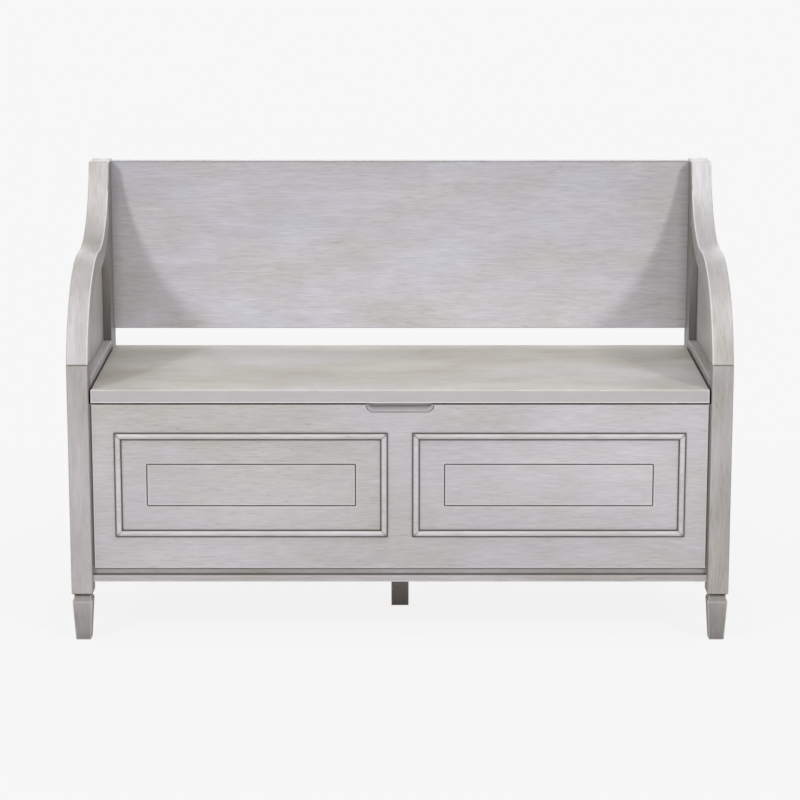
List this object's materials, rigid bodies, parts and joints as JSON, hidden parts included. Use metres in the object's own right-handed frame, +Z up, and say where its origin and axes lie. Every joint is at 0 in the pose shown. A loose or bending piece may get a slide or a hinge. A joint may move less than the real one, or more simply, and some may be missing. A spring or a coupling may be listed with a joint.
{
  "type": "settle bench",
  "caption": "Storage settle bench: a hinged lid seat over a box, a plain back board, S-curved frame-and-panel arms, a moulded front panel and shaped feet.",
  "frame": {"origin": "centre of the footprint, on the floor", "axes": "+X along the bench to its right end as seen from the front, +Y from the front to the back, +Z up"},
  "size_m": [1.175, 0.47, 0.811],
  "materials": {
    "frame_wood": "grey-washed paint with fine brushed streaks along the grain, satin",
    "front_wood": "grey-washed paint with level streaks, satin",
    "back_wood": "grey-washed paint with level streaks, satin",
    "seat_wood": "grey-washed paint with level streaks, rubbed edges, satin",
    "end_panel_wood": "grey-washed paint with upright streaks, satin",
    "moulding_wood": "grey-washed paint with darker glaze beside the round, satin",
    "panel_board": "thin unpainted panel, matt",
    "plain_wood": "unpainted softwood, matt",
    "hardware": "plated steel, satin",
    "bumper": "dark soft rubber, matt"
  },
  "bodies": {
    "bench": {"arm_left": "frame_wood", "arm_panel_left": "end_panel_wood", "arm_panel_right": "end_panel_wood", "arm_right": "frame_wood", "back_board": "back_wood", "bead_left_bottom": "moulding_wood", "bead_left_east": "moulding_wood", "bead_left_top": "moulding_wood", "bead_left_west": "moulding_wood", "bead_right_bottom": "moulding_wood", "bead_right_east": "moulding_wood", "bead_right_top": "moulding_wood", "bead_right_west": "moulding_wood", "bottom_panel": "panel_board", "box_back_panel": "panel_board", "centre_bearer": "plain_wood", "centre_leg": "frame_wood", "front_bottom_rail": "frame_wood", "front_cleat": "plain_wood", "front_leg_left": "frame_wood", "front_leg_right": "frame_wood", "front_panel": "front_wood", "hinge_left_pin": "hardware", "hinge_left_rail_leaf": "hardware", "hinge_rail": "frame_wood", "hinge_rail_screws": "hardware", "hinge_right_pin": "hardware", "hinge_right_rail_leaf": "hardware", "lid_bumpers": "bumper", "rear_bottom_rail": "frame_wood", "rear_cleat": "plain_wood", "rear_post_left": "frame_wood", "rear_post_right": "frame_wood", "side_bottom_rail_left": "frame_wood", "side_bottom_rail_right": "frame_wood", "side_panel_left": "end_panel_wood", "side_panel_right": "end_panel_wood", "side_top_rail_left": "frame_wood", "side_top_rail_right": "frame_wood"},
    "lid": {"lid": "seat_wood", "hinge_left_lid_leaf": "hardware", "hinge_right_lid_leaf": "hardware", "hinge_lid_screws": "hardware"}
  },
  "joints": [
    {"name": "lid_hinge", "type": "hinge", "parent": "bench", "child": "lid", "pos_m": [0, 0.182, 0.4335], "axis": [-1, 0, 0], "range_deg": [0, 90]}
  ]
}
